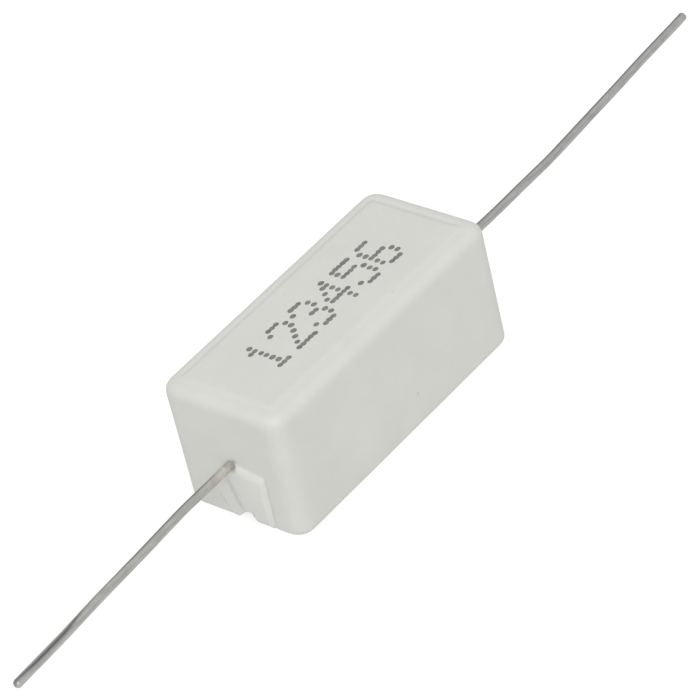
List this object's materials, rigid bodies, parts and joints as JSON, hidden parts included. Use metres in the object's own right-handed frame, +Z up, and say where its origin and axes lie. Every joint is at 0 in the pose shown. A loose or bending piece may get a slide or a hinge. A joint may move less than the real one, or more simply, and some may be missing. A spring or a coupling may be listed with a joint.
{
  "type": "axial resistor",
  "caption": "Axial wirewound power resistor: a square ceramic case filled with cement, with a wire lead from each end.",
  "frame": {"origin": "middle of the ceramic case's footprint, on the plane of its rim", "axes": "+X along the case towards the rear lead, +Z up from the open side to the closed top of the case"},
  "size_m": [0.0731, 0.0094, 0.0095],
  "materials": {
    "ceramic": "fired, unglazed, satin, off-white",
    "cement": "set cement, rough, off-white",
    "rod_ceramic": "fired, unglazed, matt",
    "resistance_wire": "bare nickel chromium wire, slightly oxidised",
    "cap_steel": "pressed sheet, plated, satin",
    "tinned_wire": "tinned, satin, with fine drawing marks"
  },
  "bodies": {
    "root": {"ceramic_case": "ceramic", "cement_filling": "cement", "core_rod": "rod_ceramic", "resistance_winding": "resistance_wire", "end_cap_front": "cap_steel", "end_cap_rear": "cap_steel", "lead_front": "tinned_wire", "lead_rear": "tinned_wire"}
  },
  "joints": []
}
